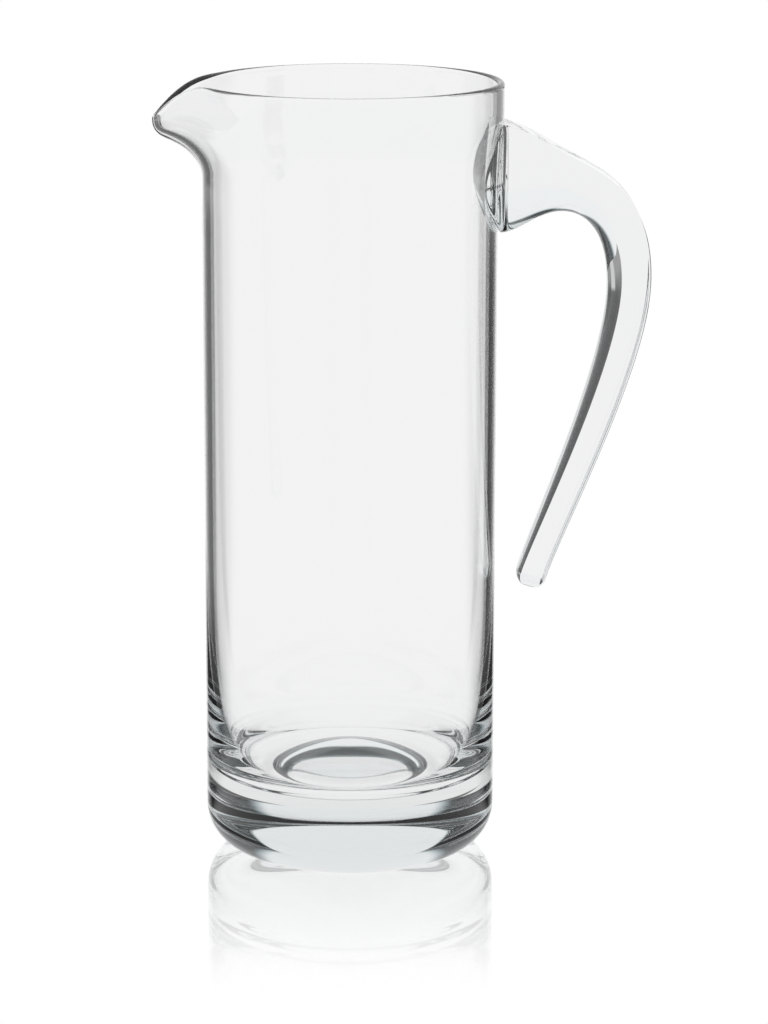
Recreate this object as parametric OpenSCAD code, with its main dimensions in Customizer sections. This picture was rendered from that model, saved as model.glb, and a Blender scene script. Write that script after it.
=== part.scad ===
// Tall glass water jug. A straight blown body with a heavy base and a pulled pouring lip,
// and a solid handle that is set on the wall at its root and hangs free at its tail.

/* [Body] */
// Outside diameter of the straight wall
body_d = 92; // [70:1:120]
// Height from the table to the top of the rim
body_h = 246; // [190:1:320]
// Thickness of the straight wall
wall = 2.4; // [1.8:0.1:4]
// Radius of the rounded heel, where the wall turns under
heel_r = 14; // [8:0.5:18]
// Width of the flat foot ring, between the heel and the hollow under the base
foot_w = 4.5; // [2:0.5:10]
// Depth of the hollow under the base
punt_depth = 7; // [1:0.25:9]
// Height of the inside floor at its edge
floor_h = 24; // [18:0.5:34]
// Rise of the floor in its middle
floor_dome = 6; // [0:0.5:9]
// Height where the wall starts to thicken towards the base
bowl_h = 100; // [60:1:130]

/* [Mouth] */
// How far the rim stands outside the straight wall
rim_flare = 1.9; // [0:0.1:4]
// Height over which the wall opens out
flare_h = 24; // [14:1:36]
// Height of the plain band between the flare and the top of the rim
rim_band = 8; // [4:0.5:16]

/* [Spout] */
// How far the lip reaches past the rim
spout_reach = 13.5; // [6:0.5:18]
// How far the tip of the lip dips below the rim
spout_drop = 10.5; // [4:0.5:14]
// Height of wall that is drawn out into the lip
spout_h = 28; // [20:1:34]
// Angle to each side of the tip over which the pull fades at the rim
spout_angle = 13.5; // [10:0.5:20]

/* [Handle] */
// Distance from the rim down to the middle of the root
root_drop = 30; // [24:1:50]
// Height of the root where it meets the wall
root_t = 35; // [24:0.5:42]
// Width of the root where it meets the wall
root_w = 43; // [30:0.5:50]
// Distance from the wall out to the middle of the bend
bend_reach = 41; // [30:0.5:60]
// Distance from the root down to the outermost point of the bend
bend_drop = 32.5; // [24:0.5:46]
// Thickness of the handle in the bend
bend_t = 14.5; // [10:0.5:20]
// Distance from the bend down to the end of the tail
tail_drop = 94; // [60:1:120]
// Distance from the wall out to the middle of the tail's end
tail_reach = 11.5; // [8:0.5:30]
// Lean of the tail from upright, towards the wall
tail_lean = 16; // [5:1:35]
// Thickness of the tail at its end
tail_t = 9.2; // [6:0.2:12]
// Width of the handle as a multiple of its thickness
aspect = 1.3; // [1:0.05:1.6]

/* [Hidden] */
glass = [0.80, 0.90, 0.91, 0.55];
$fn = 120;

// Inside, outside and levels of the body
body_r = body_d / 2;
bore_r = body_r - wall;
lip_r = wall / 2;
rim_z = body_h - lip_r;
flare_z = body_h - rim_band - flare_h;
spout_z = rim_z - spout_h;
mouth_z = min(flare_z, spout_z);
punt_r = body_r - heel_r - foot_w;

// Form of the base: how flat the middle of the hollow is, how far the inside keeps upright as a share of
// the way down to the floor, and how far out the floor and its dome reach as a share of the bore
punt_power = 5;
bowl_hold = 1.2;
floor_share = 0.92;

// The pull on the wall starts wider than it ends at the rim, by this multiple
spout_spread = 2;

// Steps along the curves
punt_steps = 10;
heel_steps = 12;
bowl_steps = 20;
flare_steps = 12;
mouth_rows = 14;
mouth_columns = 96;
rim_steps = 8;
handle_rows = 60;
corner_steps = 4;
outer_steps = 6;
nose_steps = 14;
cap_rows = 6;

// Crowding of the columns at the lip, in degrees, and of the rows at the root, as a power
lip_crowd = 28;
root_crowd = 2;

// The mouth laps into the top of the straight wall by this height, a hair inside both faces
lap_h = 2;
lap_gap = 0.08;

// Root of the handle: depth that the wall trims away, how far its height and its width run out along the
// handle, and roundness of its edge
root_sink = 3;
root_run = 16;
pad_run = 1.6;
root_edge = 1.5;

// Run of the handle's curve: how far the root and the bend hold their direction as a share of the way between
// them, the same for the bend and the tail, and where along the curve the taper begins
root_hold = 0.52;
bend_hold = 1;
hang_hold = 0.28;
tail_hold = 0.15;
taper_from = 0.57;

// Section of the handle: depth of the rounding on the hand's side and of the two outer edges
nose = 0.38;
corner = 0.06;

// Small step for directions along a curve
nudge = 0.01;

// Rises from 0 to 1 with level ends
function ease(u) = let (t = max(0, min(1, u))) t * t * (3 - 2 * t);

function unit(v) = v / norm(v);

function bezier(p, t) = let (s = 1 - t)
    s * s * s * p[0] + 3 * s * s * t * p[1] + 3 * s * t * t * p[2] + t * t * t * p[3];

// Outside radius of the plain wall at height z
function wall_r(z) = body_r + rim_flare * ease((z - flare_z) / flare_h);

// Heel from the foot ring up to the straight wall, as radius and height
heel = [for (i = [0:heel_steps]) let (a = 90 * i / heel_steps)
    [body_r - heel_r + heel_r * sin(a), heel_r - heel_r * cos(a)]];

// Outside of the body from the foot ring to the rim
flare_levels = [for (i = [0:flare_steps]) flare_z + flare_h * i / flare_steps];
outside = concat(heel, [for (z = concat(flare_levels, [rim_z])) [wall_r(z), z]]);

// Hollow under the base, from the axis to the foot ring
punt = [for (i = [0:punt_steps]) let (u = sin(90 * i / punt_steps))
    [punt_r * u, punt_depth * (1 - pow(u, punt_power))]];

// Inside of the base: the wall thickens, turns in and runs out to the floor, which rises in the middle
bowl_pts = [[bore_r, bowl_h], [bore_r, bowl_h - bowl_hold * (bowl_h - floor_h)],
    [floor_share * bore_r, floor_h], [0, floor_h]];
bowl = [for (i = [0:bowl_steps]) let (p = bezier(bowl_pts, i / bowl_steps))
    p + [0, floor_dome * (1 - ease(p[0] / (floor_share * bore_r)))]];

// Share of the full pull at angle a from the tip and at height z
function pull(a, z) = let (
        up = max(0, min(1, (z - spout_z) / spout_h)),
        side = (a > 180 ? a - 360 : a) / (spout_angle * (1 + spout_spread * (1 - up)))
    ) ease(up) * exp(-side * side);

// Middle of the wall at angle a from the tip, drawn out and down where it is pulled
function skin(a, z) = let (p = pull(a, z), r = wall_r(z) - lip_r + spout_reach * p)
    [-r * cos(a), -r * sin(a), z - spout_drop * p];

// Directions up the wall and straight out of it
function skin_up(a, z) = unit(skin(a, z + nudge) - skin(a, z - nudge));
function skin_out(a, z) = unit(cross(skin(a + nudge, z) - skin(a - nudge, z), skin_up(a, z)));

// Closed loop through the mouth at angle a: up the outside, over the rim, down the inside
function mouth_loop(a) = let (
        half = lip_r - lap_gap,
        foot = mouth_z - lap_h,
        levels = [for (i = [0:mouth_rows]) foot + (rim_z - foot) * i / mouth_rows]
    ) concat(
        [for (z = levels) skin(a, z) + half * skin_out(a, z)],
        [for (i = [1:rim_steps - 1]) let (b = 180 * i / rim_steps)
            skin(a, rim_z) + half * (cos(b) * skin_out(a, rim_z) + sin(b) * skin_up(a, rim_z))],
        [for (i = [mouth_rows:-1:0]) skin(a, levels[i]) - half * skin_out(a, levels[i])]
    );

// Angles round the mouth, closer together at the lip
mouth_angles = [for (i = [0:mouth_columns - 1]) let (a = 360 * i / mouth_columns) a - lip_crowd * sin(a)];

// Solid through a row of closed loops that have the same number of points, joined end to end if ring is set
module loft(loops, ring = false) {
    n = len(loops[0]);
    m = len(loops);
    sides = [for (i = [0:m - (ring ? 1 : 2)], j = [0:n - 1]) let (h = (i + 1) % m * n, k = (j + 1) % n)
        each [[i * n + j, i * n + k, h + j], [i * n + k, h + k, h + j]]];
    ends = ring ? [] : [[for (j = [n - 1:-1:0]) j], [for (j = [0:n - 1]) (m - 1) * n + j]];
    polyhedron([for (l = loops) each l], concat(sides, ends), convexity = 6);
}

module vessel() {
    color(glass) union() {
        rotate_extrude() polygon(concat(punt, heel, [[body_r, mouth_z], [bore_r, mouth_z]], bowl));
        loft([for (a = mouth_angles) mouth_loop(a)], ring = true);
    }
}

// Middle line of the handle in the plane of the spout, as distance out and height:
// from 0 to 1 the root runs out and over into the bend, from 1 to 2 the tail hangs down
root_at = [body_r - root_sink, body_h - root_drop];
bend_at = [body_r + bend_reach, body_h - root_drop - bend_drop];
tail_at = [body_r + tail_reach, body_h - root_drop - bend_drop - tail_drop];
root_pts = [root_at, root_at + [root_hold * bend_reach, 0], bend_at + [0, bend_hold * bend_drop], bend_at];
tail_pts = [bend_at, bend_at - [0, hang_hold * tail_drop],
    tail_at + tail_hold * tail_drop * [sin(tail_lean), cos(tail_lean)], tail_at];
function spine(t) = t < 1 ? bezier(root_pts, t) : bezier(tail_pts, t - 1);
function spine_dir(t) = unit(spine(min(t + nudge, 2)) - spine(max(t - nudge, 0)));

// Distance from the wall along the root
function root_out(t) = t < 1 ? max(0, spine(t)[0] - body_r) : bend_reach;

// Thickness of the plain rod at t, an even taper from the bend to the tail
function rod_t(t) = tail_t + (bend_t - tail_t) * (1 - ease((t - taper_from) / (2 - taper_from)));

// What the rounded edge of the root takes off where it meets the wall
function edge_roll(t) = let (u = max(0, 1 - root_out(t) / root_edge)) 2 * root_edge * (1 - sqrt(1 - u * u));

// Thickness and width at t, and how much wider the root flares half way up its height
function thick(t) = rod_t(t) + (root_t - bend_t) * exp(-pow(root_out(t) / root_run, 2)) - edge_roll(t);
function wide(t) = aspect * rod_t(t) - edge_roll(t);
function flare(t) = (root_w - aspect * bend_t) * exp(-pow(root_out(t) / pad_run, 2));

// Section for a thickness and a width of one, as distance out and across: a flat outer side with rounded
// edges, straight flanks and half an ellipse on the hand's side
corner_arc = [for (i = [0:corner_steps]) let (b = 90 * i / corner_steps) corner * [sin(b), cos(b)]];
nose_arc = [for (i = [0:nose_steps]) let (b = 180 * i / nose_steps)
    [nose - 0.5 - nose * sin(b), -cos(b) / 2]];
outer_side = [for (i = [1:outer_steps - 1]) [0.5, (0.5 - corner) * (1 - 2 * i / outer_steps)]];
d_section = concat(
    [for (p = corner_arc) p + (0.5 - corner) * [1, 1]],
    outer_side,
    [for (i = [corner_steps:-1:0]) [corner_arc[i][0] + 0.5 - corner, corner - 0.5 - corner_arc[i][1]]],
    nose_arc
);

// The section set at a point of the middle line; near the wall it bends round the body
function handle_loop(at, dir, thick, wide, flare = 0, wrap = 0) = let (out = [-dir[1], dir[0]])
    [for (p = d_section) let (
            u = thick * p[0],
            y = p[1] * (wide + flare * sqrt(1 - 4 * p[0] * p[0])),
            sag = body_r - sqrt(body_r * body_r - y * y)
        ) [at[0] + u * out[0] - wrap * sag, y, at[1] + u * out[1]]];

module handle() {
    down = spine_dir(2);
    length_loops = [for (i = [0:handle_rows]) let (t = 2 * pow(i / handle_rows, root_crowd))
        handle_loop(spine(t), spine_dir(t), thick(t), wide(t), flare(t), 1 - ease(root_out(t) / root_run))];
    cap_loops = [for (i = [1:cap_rows - 1]) let (b = 90 * i / cap_rows, t = tail_t * cos(b))
        handle_loop(tail_at + tail_t / 2 * sin(b) * down, down, t, aspect * t)];
    color(glass) difference() {
        loft(concat(length_loops, cap_loops));
        rotate_extrude() polygon(concat([[0, 0]], outside, [[0, rim_z]]));
    }
}

vessel();
handle();
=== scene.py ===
import math

import bpy
import numpy as np
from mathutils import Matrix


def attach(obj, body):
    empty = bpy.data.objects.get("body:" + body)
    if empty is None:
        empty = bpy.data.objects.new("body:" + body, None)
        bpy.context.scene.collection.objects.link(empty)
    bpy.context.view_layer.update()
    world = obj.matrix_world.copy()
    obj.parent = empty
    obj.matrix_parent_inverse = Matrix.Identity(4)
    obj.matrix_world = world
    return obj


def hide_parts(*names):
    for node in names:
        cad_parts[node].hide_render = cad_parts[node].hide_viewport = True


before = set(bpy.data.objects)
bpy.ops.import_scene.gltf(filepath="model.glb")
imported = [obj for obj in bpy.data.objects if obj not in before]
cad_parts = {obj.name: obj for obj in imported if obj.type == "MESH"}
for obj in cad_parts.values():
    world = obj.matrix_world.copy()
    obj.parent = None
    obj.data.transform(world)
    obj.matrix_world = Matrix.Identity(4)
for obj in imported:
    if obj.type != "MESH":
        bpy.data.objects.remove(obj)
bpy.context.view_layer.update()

scene = bpy.context.scene
mm = 0.001
print("frame loaded:", ", ".join(sorted(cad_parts)))


# shared shape helpers

def smoothStep(u):
    # rises from 0 to 1 with level ends: 3u^2 - 2u^3 on u held between 0 and 1
    u = np.clip(u, 0, 1)
    return u * u * (3 - 2 * u)


def unit(v):
    # vectors scaled to a length of one
    return v / np.linalg.norm(v, axis=-1, keepdims=True)


def bezier(points, t):
    # cubic curve: the four points weighted by the cubic Bernstein shares at t
    s, t = 1 - t[..., None], t[..., None]
    p = np.asarray(points, float)
    return s**3 * p[0] + 3 * s * s * t * p[1] + 3 * s * t * t * p[2] + t**3 * p[3]


def ringMesh(name, rings, startPole, endPole):
    # rows of closed rings joined by quads, with a fan of triangles to a pole at each end
    rows, cols = rings.shape[:2]
    j = np.arange(cols)
    k = (j + 1) % cols
    row = np.arange(rows - 1)[:, None] * cols
    quads = np.stack([row + j, row + k, row + cols + k, row + cols + j], -1).reshape(-1, 4)
    first, last = rows * cols, rows * cols + 1
    end = (rows - 1) * cols
    fans = np.concatenate([np.stack([np.full(cols, first), k, j], 1),
                           np.stack([np.full(cols, last), end + j, end + k], 1)])
    points = np.concatenate([rings.reshape(-1, 3), [startPole, endPole]]) * mm
    corners = np.concatenate([quads.ravel(), fans.ravel()])
    counts = np.concatenate([np.full(len(quads), 4), np.full(len(fans), 3)])
    mesh = bpy.data.meshes.new(name)
    mesh.vertices.add(len(points))
    mesh.vertices.foreach_set("co", points.astype(np.float32).ravel())
    mesh.loops.add(len(corners))
    mesh.loops.foreach_set("vertex_index", corners.astype(np.int32))
    mesh.polygons.add(len(counts))
    mesh.polygons.foreach_set("loop_start", (np.cumsum(counts) - counts).astype(np.int32))
    mesh.update(calc_edges=True)
    mesh.shade_smooth()
    piece = bpy.data.objects.new(name, mesh)
    scene.collection.objects.link(piece)
    print(f"{name}: {len(points)} points, {2 * len(quads) + len(fans)} triangles")
    return piece


# camera, where the photograph was taken from

cameraPlace = {
    "distance": 1180,       # in front of the jug's axis, mm
    "height": 384.6,
    "tilt": 13.15,          # below level, degrees
    "lens": 134.2,          # for the frame's height below
    "frameHeight": 36,
    "axisLeft": 34 / 1024,  # the jug's axis is left of the middle, as a share of the frame's height
    "clip": (0.01, 50),     # metres
}


def makeCamera(p):
    # level with the jug's axis in x, tilted down, and shifted so that the axis falls left of the middle
    data = bpy.data.cameras.new("photoCamera")
    data.sensor_fit = "VERTICAL"
    data.sensor_height = p["frameHeight"]
    data.lens = p["lens"]
    data.shift_x = p["axisLeft"]
    data.clip_start, data.clip_end = p["clip"]
    camera = bpy.data.objects.new("photoCamera", data)
    camera.location = (0, -p["distance"] * mm, p["height"] * mm)
    camera.rotation_euler = (math.radians(90 - p["tilt"]), 0, 0)
    scene.collection.objects.link(camera)
    scene.camera = camera
    print("camera set")


makeCamera(cameraPlace)


# vessel: blown body with its base, rim and pulled lip

vesselSize = {
    "bodyRadius": 46,     # outside of the straight wall, mm
    "height": 246,
    "wall": 2.4,
    "heelRadius": 14,
    "footWidth": 4.5,     # flat ring that stands on the table
    "puntDepth": 7,       # hollow under the base
    "puntPower": 5,       # how flat the hollow's middle is
    "bowlTop": 100,       # height where the wall starts to thicken
    "bowlHold": 1.2,      # how far it keeps upright, as a share of the bowl's depth
    "floorShare": 0.92,   # how far out the floor and its dome reach, as a share of the bore
    "floorEdge": 24,      # height of the floor at its edge
    "floorDome": 6,       # rise of the floor in the middle
    "rimFlare": 1.9,
    "flareHeight": 24,
    "rimBand": 8,         # upright part above the flare
    "spoutReach": 13.5,
    "spoutDrop": 10.5,
    "dropPower": 1.8,     # above 1, the lip's edge stays high until nearer its tip
    "spoutHeight": 28,
    "spoutAngle": 13.5,   # to each side of the tip at the rim, degrees
    "spoutSpread": 2.0,   # how much wider the pull starts, below the rim
    "lipCrowd": 28,       # columns drawn together at the lip, degrees
    "columns": 284,       # with the rows below, just under 200,000 triangles
    "rows": {"punt": 30, "foot": 6, "heel": 30, "wall": 44, "mouth": 40, "rim": 14, "bowl": 110},
}


def wallRadius(z, v=vesselSize):
    # outside radius of the plain wall: the body's radius plus a smooth step up to the rim's flare
    start = v["height"] - v["rimBand"] - v["flareHeight"]
    return v["bodyRadius"] + v["rimFlare"] * smoothStep((z - start) / v["flareHeight"])


def wallSkin(a, z, v=vesselSize):
    # middle of the wall at angle a from the tip: a circle of the wall's radius, drawn out by a bell curve in
    # angle, which narrows towards the rim, times a smooth step in height, and down by a power of the same
    half = v["wall"] / 2
    rim = v["height"] - half
    up = np.clip((z - rim + v["spoutHeight"]) / v["spoutHeight"], 0, 1)
    wide = math.radians(v["spoutAngle"]) * (1 + v["spoutSpread"] * (1 - up))
    side = (np.mod(a + np.pi, 2 * np.pi) - np.pi) / wide
    pull = smoothStep(up) * np.exp(-side**2)
    r = wallRadius(z, v) - half + v["spoutReach"] * pull
    return np.stack([-r * np.cos(a), -r * np.sin(a), z - v["spoutDrop"] * pull**v["dropPower"]], -1)


def wallFrame(a, z, step=1e-3):
    # directions up the wall and straight out of it, from differences along the two parameters
    up = unit(wallSkin(a, z + step) - wallSkin(a, z - step))
    along = wallSkin(a + step, z) - wallSkin(a - step, z)
    return up, unit(np.cross(along, up))


def spin(profile, a):
    # a profile of radius and height turned about the axis
    r, z = profile[:, :1], profile[:, 1:]
    return np.stack([-r * np.cos(a), -r * np.sin(a), np.broadcast_to(z, (len(profile), len(a)))], -1)


def makeVessel(v):
    # one closed surface: from the middle of the hollow out under the foot, up the outside, over the rim, down
    # the inside and across the floor, as a profile turned about the axis and pulled out at the lip
    n, half = v["rows"], v["wall"] / 2
    rim = v["height"] - half
    lipFoot = rim - v["spoutHeight"]
    turn = np.linspace(0, 2 * np.pi, v["columns"], endpoint=False)
    turn = turn - math.radians(v["lipCrowd"]) * np.sin(turn)

    heelInner = v["bodyRadius"] - v["heelRadius"]
    puntRadius = heelInner - v["footWidth"]
    r = puntRadius * np.sin(np.linspace(0, np.pi / 2, n["punt"] + 1))[1:]
    punt = np.stack([r, v["puntDepth"] * (1 - (r / puntRadius)**v["puntPower"])], 1)
    r = np.linspace(puntRadius, heelInner, n["foot"] + 1)[1:]
    foot = np.stack([r, np.zeros_like(r)], 1)
    b = np.linspace(-np.pi / 2, 0, n["heel"] + 1)[1:-1]
    heel = np.stack([heelInner + v["heelRadius"] * np.cos(b), v["heelRadius"] * (1 + np.sin(b))], 1)

    upZ = np.concatenate([np.linspace(v["heelRadius"], lipFoot, n["wall"]),
                          np.linspace(lipFoot, rim, n["mouth"])[1:]])
    a, z = np.meshgrid(turn, upZ)
    outer = wallSkin(a, z) + half * wallFrame(a, z)[1]
    b = np.linspace(0, np.pi, n["rim"] + 1)[1:-1]
    a, b = np.meshgrid(turn, b)
    up, out = wallFrame(a, np.full_like(a, rim))
    lip = wallSkin(a, np.full_like(a, rim)) + half * (np.cos(b)[..., None] * out + np.sin(b)[..., None] * up)
    downZ = np.concatenate([np.linspace(rim, lipFoot, n["mouth"]),
                            np.linspace(lipFoot, v["bowlTop"], n["wall"])[1:]])
    a, z = np.meshgrid(turn, downZ)
    inner = wallSkin(a, z) - half * wallFrame(a, z)[1]

    bore = v["bodyRadius"] - v["wall"]
    floorRadius = v["floorShare"] * bore
    upright = v["bowlTop"] - v["bowlHold"] * (v["bowlTop"] - v["floorEdge"])
    bowl = bezier([(bore, v["bowlTop"]), (bore, upright), (floorRadius, v["floorEdge"]), (0, v["floorEdge"])],
                  np.linspace(0, 1, n["bowl"])[1:-1])
    bowl[:, 1] += v["floorDome"] * (1 - smoothStep(bowl[:, 0] / floorRadius))

    base = spin(np.concatenate([punt, foot, heel]), turn)
    rings = np.concatenate([base, outer, lip, inner, spin(bowl, turn)])
    return ringMesh("vessel_glass", rings, (0, 0, v["puntDepth"]), (0, 0, v["floorEdge"] + v["floorDome"]))


vessel = makeVessel(vesselSize)


# handle: solid gather pressed on the wall, curled over and drawn down to a free tail

handleSize = {
    "rootDrop": 30,       # from the rim to the middle of the root, mm
    "rootThick": 35,
    "rootRun": 16,        # how far the root's flare runs out
    "rootEdge": 1.5,      # rounding where the root meets the wall
    "rootGap": 0.03,      # how far the pad's face stands off the wall
    "spineStart": 3,      # how far inside the wall's outside the spine starts
    "crossBefore": 0.6,   # every column has left the wall by here on the spine
    "searchSteps": 40,    # halvings, to find where each one does
    "bendReach": 41,
    "bendDrop": 32.5,
    "bendThick": 14.5,
    "tailDrop": 94,
    "tailReach": 11.5,
    "tailLean": 16,       # degrees
    "tailThick": 9.2,
    "aspect": 1.3,        # width over thickness
    "padWidth": 43,       # across the root where it meets the wall
    "padRun": 1.6,        # how far that width runs out
    "nose": (0.42, 0.14),  # rounding on the hand's side at bend and tail, as a share of the thickness
    "noseFrom": 0.9,      # where on the spine it starts to tighten
    "corner": 0.06,       # rounding of the two outer edges
    "hold": (0.52, 1.0, 0.28, 0.15),  # how far root, bend (twice) and tail keep their direction
    "taperFrom": 0.57,    # where on the spine the rod starts to thin
    "rows": 200,
    "rowCrowd": 1.6,      # rows drawn together at the root
    "sides": {"flank": 14, "corner": 10, "outer": 20, "nose": 44},
    "capRows": 16,
    "padRows": 20,
}
spineStep = 0.005         # for the spine's direction


def handleSpine(t, h=handleSize, v=vesselSize):
    # two cubic curves in the plane of the spout: 0 to 1 from the wall into the bend, 1 to 2 down the tail
    holdRoot, holdBend, holdHang, holdTail = h["hold"]
    root = np.array([v["bodyRadius"] - h["spineStart"], v["height"] - h["rootDrop"]])
    bend = np.array([v["bodyRadius"] + h["bendReach"], root[1] - h["bendDrop"]])
    tail = np.array([v["bodyRadius"] + h["tailReach"], bend[1] - h["tailDrop"]])
    lean = math.radians(h["tailLean"])
    first = [root, root + [holdRoot * h["bendReach"], 0], bend + [0, holdBend * h["bendDrop"]], bend]
    second = [bend, bend - [0, holdHang * h["tailDrop"]],
              tail + holdTail * h["tailDrop"] * np.array([math.sin(lean), math.cos(lean)]), tail]
    return np.where((t < 1)[..., None], bezier(first, np.minimum(t, 1)), bezier(second, np.maximum(t - 1, 0)))


def dSection(h=handleSize):
    # outline for a thickness and a width of one, as distance out, the share of the nose's depth to add to it,
    # and distance across: straight flanks, a flat outer side with quarter circles at its edges, and half an
    # ellipse on the hand's side
    n, half, c = h["sides"], 0.5, h["corner"]
    flank = np.linspace(-half, half - c, n["flank"], endpoint=False)
    share = np.linspace(0, 1, n["flank"], endpoint=False)
    q = np.linspace(0, np.pi / 2, n["corner"], endpoint=False)
    outer = np.linspace(half - c, c - half, n["outer"], endpoint=False)
    e = np.linspace(0, np.pi, n["nose"], endpoint=False)
    u = np.concatenate([flank, half - c + c * np.sin(q), np.full_like(outer, half), half - c + c * np.cos(q),
                        -c - flank, np.full_like(e, -half)])
    bow = np.concatenate([1 - share, 0 * q, 0 * outer, 0 * q, share, 1 - np.sin(e)])
    y = np.concatenate([np.full_like(flank, half), half - c + c * np.cos(q), outer, c - half - c * np.sin(q),
                        np.full_like(flank, -half), -half * np.cos(e)])
    return u, bow, y


def handleSurface(t, h=handleSize, v=vesselSize):
    # the section carried along the spine, a column for each of its points; its thickness and its rounding on
    # the hand's side shrink to the tail, it swells at the root, and near the wall it bends round the body
    at = handleSpine(t)
    ahead = unit(handleSpine(np.minimum(t + spineStep, 2)) - handleSpine(np.maximum(t - spineStep, 0)))
    side = np.stack([-ahead[..., 1], ahead[..., 0]], -1)
    out = np.where(t < 1, np.maximum(at[..., 0] - v["bodyRadius"], 0), h["bendReach"])
    edge = np.maximum(0, 1 - out / h["rootEdge"])
    roll = 2 * h["rootEdge"] * (1 - np.sqrt(1 - edge**2))
    taper = smoothStep((t - h["taperFrom"]) / (2 - h["taperFrom"]))
    rod = h["tailThick"] + (h["bendThick"] - h["tailThick"]) * (1 - taper)
    thick = rod + (h["rootThick"] - h["bendThick"]) * np.exp(-(out / h["rootRun"])**2) - roll
    wide = h["aspect"] * rod - roll
    flare = (h["padWidth"] - h["aspect"] * h["bendThick"]) * np.exp(-(out / h["padRun"])**2)
    bendNose, tailNose = h["nose"]
    nose = bendNose + (tailNose - bendNose) * np.clip((t - h["noseFrom"]) / (2 - h["noseFrom"]), 0, 1)
    return placeSection(at, side, thick, wide, nose, flare, 1 - smoothStep(out / h["rootRun"]))


def placeSection(at, side, thick, wide, nose, flare, wrap, v=vesselSize):
    # the section stretched to a thickness and a width and set at a point of the spine, with its outer side
    # along side; the flare widens it most half way up, so the pad on the wall is an ellipse
    u, bow, y = dSection()
    u = u + nose * bow
    y = y * (wide + flare * np.sqrt(np.maximum(0, 1 - 4 * u**2)))
    u = thick * u
    sag = v["bodyRadius"] - np.sqrt(v["bodyRadius"]**2 - y**2)
    return np.stack([at[..., 0] + u * side[..., 0] - wrap * sag, y, at[..., 1] + u * side[..., 1]], -1)


def ontoWall(p, gap):
    # moves points straight in or out to a hair off the wall's outside
    r = wallRadius(p[..., 2]) + gap
    return np.stack([np.sqrt(r**2 - p[..., 1]**2), p[..., 1], p[..., 2]], -1)


def makeHandle(h):
    # rows run from where each column leaves the wall to the tail, then over a round end; the pad's face on
    # the wall is closed by rings that shrink to its middle
    columns = len(dSection()[0])
    near, far = np.zeros(columns), np.full(columns, h["crossBefore"])
    for step in range(h["searchSteps"]):
        mid = (near + far) / 2
        p = handleSurface(mid)
        inside = np.hypot(p[:, 0], p[:, 1]) < wallRadius(p[:, 2]) + h["rootGap"]
        near, far = np.where(inside, mid, near), np.where(inside, far, mid)
    s = np.linspace(0, 1, h["rows"])[:, None]**h["rowCrowd"]
    length = handleSurface(far + (2 - far) * s)

    edge = length[0]
    middle = np.array([0, 0, edge[:, 2].mean()])
    shrink = np.linspace(0, 1, h["padRows"] + 1)[1:-1, None, None]
    pad = ontoWall(middle * (1 - shrink) + edge * shrink, h["rootGap"])

    end, before = handleSpine(np.array([2, 2 - spineStep]))
    ahead = unit(end - before)
    c = np.linspace(0, np.pi / 2, h["capRows"] + 1)[1:-1, None]
    at = end + h["tailThick"] / 2 * np.sin(c)[..., None] * ahead
    shrink = h["tailThick"] * np.cos(c)
    side = np.array([-ahead[1], ahead[0]])
    cap = placeSection(at, side, shrink, h["aspect"] * shrink, h["nose"][1], 0, 0)
    tip = end + h["tailThick"] / 2 * ahead

    rings = np.concatenate([pad, length, cap])
    return ringMesh("handle_glass", rings, ontoWall(middle, h["rootGap"]), (tip[0], 0, tip[1]))


handle = makeHandle(handleSize)


# glass

glassLook = {
    "vessel": {"slot": "clear_glass", "stretch": (1, 1, 0.25), "rippleScale": 26, "bloom": 0.03},
    "handle": {"slot": "clear_glass", "stretch": (1, 1, 0.6), "rippleScale": 34, "bloom": 0.03},
    "ior": 1.5,
    "tint": (0.57, 0.60, 0.605, 1),  # one less this, times the density, is taken up per metre
    "density": 4.0,
    "rippleHeight": 0.00002,         # metres
    "rippleDetail": 2,
    "bloomScale": 220,
    "bloomDetail": 4,
    "bloomSpan": (0.52, 0.75),       # bloom lies in patches, with clean glass between
}


def newNode(tree, kind, place=(0, 0), **values):
    # a node of one kind, laid out at a place, with its settings
    node = tree.nodes.new(kind)
    node.location = place
    for key, value in values.items():
        setattr(node, key, value)
    return node


def makeGlassSurface(p):
    # group for both glasses: soft ripple left by the blowing and drawing, as a height, and a faint bloom of
    # handling as a roughness
    group = bpy.data.node_groups.new("glassSurface", "ShaderNodeTree")
    face = group.interface
    face.new_socket("Vector", in_out="INPUT", socket_type="NodeSocketVector")
    for label in ("Ripple Scale", "Bloom"):
        face.new_socket(label, in_out="INPUT", socket_type="NodeSocketFloat")
    for label in ("Height", "Roughness"):
        face.new_socket(label, in_out="OUTPUT", socket_type="NodeSocketFloat")
    link = group.links.new
    come = newNode(group, "NodeGroupInput", (-700, 0))
    leave = newNode(group, "NodeGroupOutput", (500, 0))
    ripple = newNode(group, "ShaderNodeTexNoise", (-400, 150))
    ripple.inputs["Detail"].default_value = p["rippleDetail"]
    bloom = newNode(group, "ShaderNodeTexNoise", (-400, -200))
    bloom.inputs["Scale"].default_value = p["bloomScale"]
    bloom.inputs["Detail"].default_value = p["bloomDetail"]
    film = newNode(group, "ShaderNodeMapRange", (-100, -200))
    film.inputs["From Min"].default_value, film.inputs["From Max"].default_value = p["bloomSpan"]
    link(come.outputs["Vector"], ripple.inputs["Vector"])
    link(come.outputs["Ripple Scale"], ripple.inputs["Scale"])
    link(come.outputs["Vector"], bloom.inputs["Vector"])
    link(bloom.outputs[0], film.inputs["Value"])
    link(come.outputs["Bloom"], film.inputs["To Max"])
    link(ripple.outputs[0], leave.inputs["Height"])
    link(film.outputs[0], leave.inputs["Roughness"])
    return group


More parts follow.
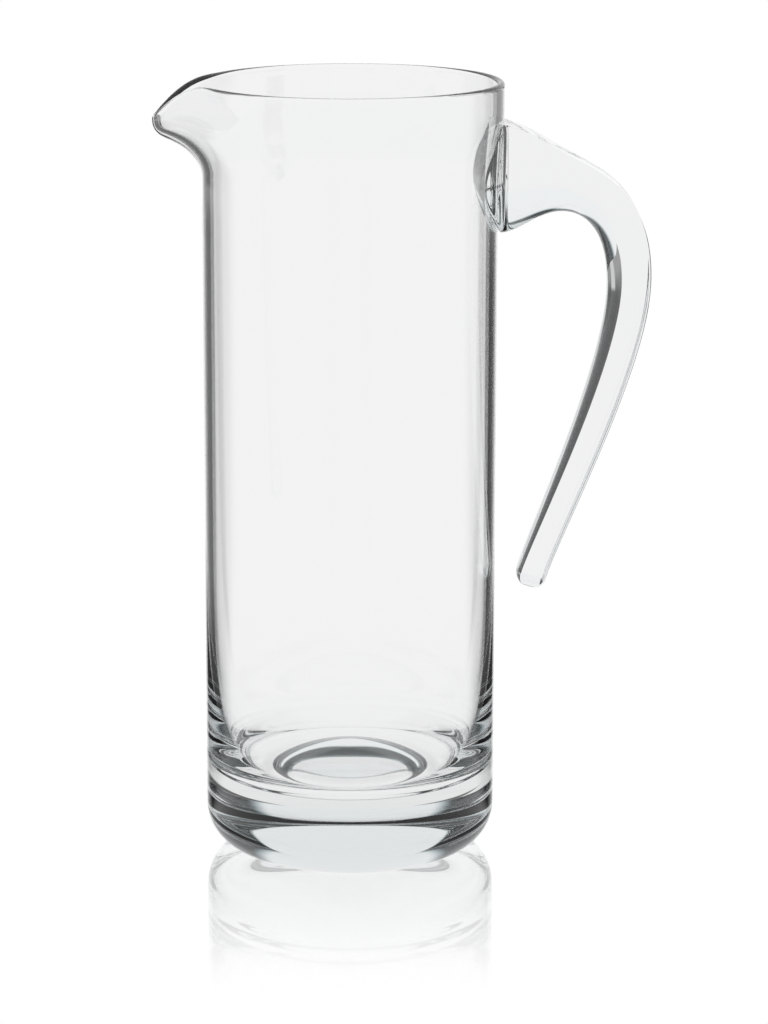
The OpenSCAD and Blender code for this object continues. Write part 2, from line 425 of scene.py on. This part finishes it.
def makeGlass(name, look, shared, group):
    # clear glass with the group's ripple and bloom, which takes up a little light over its depth
    material = bpy.data.materials.new(name)
    material.use_nodes = True
    tree = material.node_tree
    link = tree.links.new
    shader = tree.nodes["Principled BSDF"]
    shader.inputs["Base Color"].default_value = (1, 1, 1, 1)
    shader.inputs["Roughness"].default_value = 0  # where the group below is left out
    shader.inputs["IOR"].default_value = shared["ior"]
    shader.inputs["Transmission Weight"].default_value = 1
    place = newNode(tree, "ShaderNodeTexCoord", (-1100, 0))
    stretch = newNode(tree, "ShaderNodeMapping", (-900, 0))
    stretch.inputs["Scale"].default_value = look["stretch"]
    surface = newNode(tree, "ShaderNodeGroup", (-650, 0), node_tree=group)
    surface.inputs["Ripple Scale"].default_value = look["rippleScale"]
    surface.inputs["Bloom"].default_value = look["bloom"]
    bump = newNode(tree, "ShaderNodeBump", (-300, -200))
    bump.inputs["Strength"].default_value = 1
    bump.inputs["Distance"].default_value = shared["rippleHeight"]
    absorb = newNode(tree, "ShaderNodeVolumeAbsorption", (0, -400))
    absorb.inputs["Color"].default_value = shared["tint"]
    absorb.inputs["Density"].default_value = shared["density"]
    link(place.outputs["Object"], stretch.inputs["Vector"])
    link(stretch.outputs["Vector"], surface.inputs["Vector"])
    link(surface.outputs["Height"], bump.inputs["Height"])
    link(bump.outputs["Normal"], shader.inputs["Normal"])
    link(surface.outputs["Roughness"], shader.inputs["Roughness"])
    link(absorb.outputs["Volume"], tree.nodes["Material Output"].inputs["Volume"])
    return material


glassSurface = makeGlassSurface(glassLook)
for piece, name in ((vessel, "vessel"), (handle, "handle")):
    look = glassLook[name]
    piece.data.materials.append(makeGlass(name + "Glass", look, glassLook, glassSurface))
    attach(piece, "root")
    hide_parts(name)
print("glass set")


# stage: pale floor with a soft mirror round the foot, bright backdrop, dim sides; pairs are the two ends of a
# soft edge, in metres on the floor and in degrees from straight back or up from level

stageLight = {
    "floorReach": 3.0,
    "floorDrop": 0.02,           # mm under the foot
    "floorLight": 0.9,           # of the strip and sides, as the glass sees them
    "floorDim": 0.07,            # between them
    "stripHalf": (0.04, 0.07),   # bright strip from under the jug to the back, its half width
    "stripSpread": 0.28,         # how it widens with distance
    "stripFront": (-0.20, -0.17),
    "sideFloor": (64, 82),       # where the floor is bright again to the sides
    "sideStart": (0.05, 0.075),
    "leftEdge": (-0.05, 0.05),   # the spout's side is a little lighter
    "leftStart": (0.25, 0.4),
    "leftDim": 0.14,
    "farFloor": (1.0, 1.8),      # and so is the floor far out
    "farDim": 0.3,
    "throughFrom": (34, 38),     # beyond this, what is seen clean through the glass is bright
    "throughTop": (15, 20),
    "patchStart": (1.05, 1.3),   # the same through one wall, on the handle's side
    "patchEdge": (47, 54),
    "patchLight": 0.65,
    "mirror": 0.55,              # strength of the reflection at the foot
    "mirrorFade": (0.03, 0.15),
    "mirrorBlur": 0.02,
    "backHalf": (24, 34),        # bright backdrop
    "backTop": (30, 38),
    "backLight": 0.9,
    "sideDim": 0.035,
    "dimColor": (0.72, 0.92, 1.0, 1),
    "rear": 0.8,                 # behind the camera
    "rearFrom": (100, 125),
    "over": 0.35,                # overhead
    "overFrom": (62, 74),
}


def radians(pair):
    # both ends of a span in degrees
    return [math.radians(v) for v in pair]


def calc(tree, operation, first, *others):
    # a chain of math nodes over the values, each a number or a socket
    result = first
    for other in others or (None,):
        node = newNode(tree, "ShaderNodeMath", operation=operation)
        for socket, value in zip(node.inputs, (result, other)):
            if isinstance(value, (int, float)):
                socket.default_value = value
            elif value is not None:
                tree.links.new(value, socket)
        result = node.outputs[0]
    return result


def fade(tree, value, span, low, high):
    # smooth change from low to high as value crosses the span
    node = newNode(tree, "ShaderNodeMapRange", interpolation_type="SMOOTHSTEP")
    tree.links.new(value, node.inputs["Value"])
    node.inputs["From Min"].default_value, node.inputs["From Max"].default_value = span
    node.inputs["To Min"].default_value, node.inputs["To Max"].default_value = low, high
    return node.outputs[0]


def throughBoth(tree, path):
    # whether light has passed both walls, which is four faces of glass or more
    return calc(tree, "GREATER_THAN", path.outputs["Transmission Depth"], 3.5)


def makeWorld(p):
    # light by direction: a bright field behind the jug, dim to the sides, softer light behind the camera and
    # above; low to the sides it is bright again for what has passed both walls
    world = bpy.data.worlds.new("studio")
    scene.world = world
    world.use_nodes = True
    tree = world.node_tree
    where = newNode(tree, "ShaderNodeTexCoord")
    split = newNode(tree, "ShaderNodeSeparateXYZ")
    tree.links.new(where.outputs["Generated"], split.inputs[0])
    across = calc(tree, "ABSOLUTE", calc(tree, "ARCTAN2", split.outputs["X"], split.outputs["Y"]))
    above = calc(tree, "ARCSINE", split.outputs["Z"])
    path = newNode(tree, "ShaderNodeLightPath")
    back = calc(tree, "MULTIPLY", fade(tree, across, radians(p["backHalf"]), 1, 0),
                fade(tree, above, radians(p["backTop"]), 1, 0))
    around = calc(tree, "MAXIMUM", fade(tree, across, radians(p["rearFrom"]), p["sideDim"], p["rear"]),
                  fade(tree, above, radians(p["overFrom"]), 0, p["over"]))
    field = calc(tree, "MULTIPLY", back, calc(tree, "SUBTRACT", p["backLight"], around))
    through = calc(tree, "MULTIPLY", throughBoth(tree, path),
                   fade(tree, across, radians(p["throughFrom"]), 0, p["rear"]),
                   fade(tree, above, radians(p["throughTop"]), 1, 0))
    seen = calc(tree, "LESS_THAN", path.outputs["Ray Depth"], 2.5)  # by the camera, in the floor too
    light = calc(tree, "MAXIMUM", calc(tree, "ADD", field, around), through, seen)
    shade = newNode(tree, "ShaderNodeMix", data_type="RGBA")  # cool in the dim parts
    shade.inputs["A"].default_value, shade.inputs["B"].default_value = p["dimColor"], (1, 1, 1, 1)
    tree.links.new(light, shade.inputs["Factor"])
    tree.links.new(light, tree.nodes["Background"].inputs["Strength"])
    tree.links.new(shade.outputs["Result"], tree.nodes["Background"].inputs["Color"])


def floorPattern(tree, path, seen, x, y, far, p):
    # light by place on the floor: white to the camera, and to the glass a bright strip and bright sides with
    # dim floor between, which is bright too for what has passed both walls, or one wall without turning back
    across = calc(tree, "SUBTRACT", calc(tree, "ABSOLUTE", x), calc(tree, "MULTIPLY", y, p["stripSpread"]))
    turn = calc(tree, "ABSOLUTE", calc(tree, "ARCTAN2", x, y))
    isLeft = fade(tree, x, p["leftEdge"], 1, 0)
    strip = calc(tree, "MULTIPLY", fade(tree, across, p["stripHalf"], 1, 0),
                 fade(tree, y, p["stripFront"], 0, 1))
    side = calc(tree, "MULTIPLY", fade(tree, turn, radians(p["sideFloor"]), 0, 1),
                fade(tree, far, p["sideStart"], 0, 1))
    lit = calc(tree, "MULTIPLY", calc(tree, "MAXIMUM", strip, side), p["floorLight"])
    left = calc(tree, "MULTIPLY", isLeft, fade(tree, far, p["leftStart"], p["floorDim"], p["leftDim"]))
    dim = fade(tree, far, p["farFloor"], p["floorDim"], p["farDim"])
    patch = calc(tree, "MULTIPLY", fade(tree, far, p["patchStart"], 0, p["patchLight"]),
                 fade(tree, turn, radians(p["patchEdge"]), 1, 0))
    straight = calc(tree, "LESS_THAN", path.outputs["Glossy Depth"], 0.5)  # no reflection on the way
    direct = calc(tree, "MULTIPLY", straight, calc(tree, "MAXIMUM", isLeft, patch))
    through = calc(tree, "MULTIPLY", calc(tree, "MAXIMUM", throughBoth(tree, path), direct),
                   fade(tree, turn, radians(p["throughFrom"]), 0, 1),
                   fade(tree, far, p["sideStart"], 0, p["floorLight"]))
    return calc(tree, "MAXIMUM", lit, left, dim, through, seen)


def makeFloor(p):
    # a flat square that glows in the pattern, and for the camera turns into a soft mirror near the foot
    reach = p["floorReach"]
    corners = [(-reach, -reach, 0), (reach, -reach, 0), (reach, reach, 0), (-reach, reach, 0)]
    mesh = bpy.data.meshes.new("floor")
    mesh.from_pydata(corners, [], [(0, 1, 2, 3)])
    floor = bpy.data.objects.new("floor", mesh)
    floor.location.z = -p["floorDrop"] * mm
    scene.collection.objects.link(floor)
    material = bpy.data.materials.new("paleFloor")
    material.use_nodes = True
    tree = material.node_tree
    tree.nodes.remove(tree.nodes["Principled BSDF"])
    where = newNode(tree, "ShaderNodeTexCoord")
    split = newNode(tree, "ShaderNodeSeparateXYZ")
    length = newNode(tree, "ShaderNodeVectorMath", operation="LENGTH")
    tree.links.new(where.outputs["Object"], split.inputs[0])
    tree.links.new(where.outputs["Object"], length.inputs[0])
    far = length.outputs["Value"]
    path = newNode(tree, "ShaderNodeLightPath")
    seen = path.outputs["Is Camera Ray"]
    glow = newNode(tree, "ShaderNodeEmission")
    pattern = floorPattern(tree, path, seen, split.outputs["X"], split.outputs["Y"], far, p)
    tree.links.new(pattern, glow.inputs["Strength"])
    gloss = newNode(tree, "ShaderNodeBsdfGlossy")
    gloss.inputs["Color"].default_value = (1, 1, 1, 1)
    gloss.inputs["Roughness"].default_value = p["mirrorBlur"]
    share = calc(tree, "MULTIPLY", fade(tree, far, p["mirrorFade"], p["mirror"], 0), seen)
    mix = newNode(tree, "ShaderNodeMixShader")
    tree.links.new(share, mix.inputs[0])
    tree.links.new(glow.outputs[0], mix.inputs[1])
    tree.links.new(gloss.outputs[0], mix.inputs[2])
    tree.links.new(mix.outputs[0], tree.nodes["Material Output"].inputs["Surface"])
    mesh.materials.append(material)


makeWorld(stageLight)
makeFloor(stageLight)
scene.view_settings.view_transform = "Standard"
scene.cycles.max_bounces = 24  # light takes many turns in the thick base
scene.cycles.transmission_bounces = 24
scene.cycles.glossy_bounces = 12
scene.cycles.use_denoising = True
print("stage set")
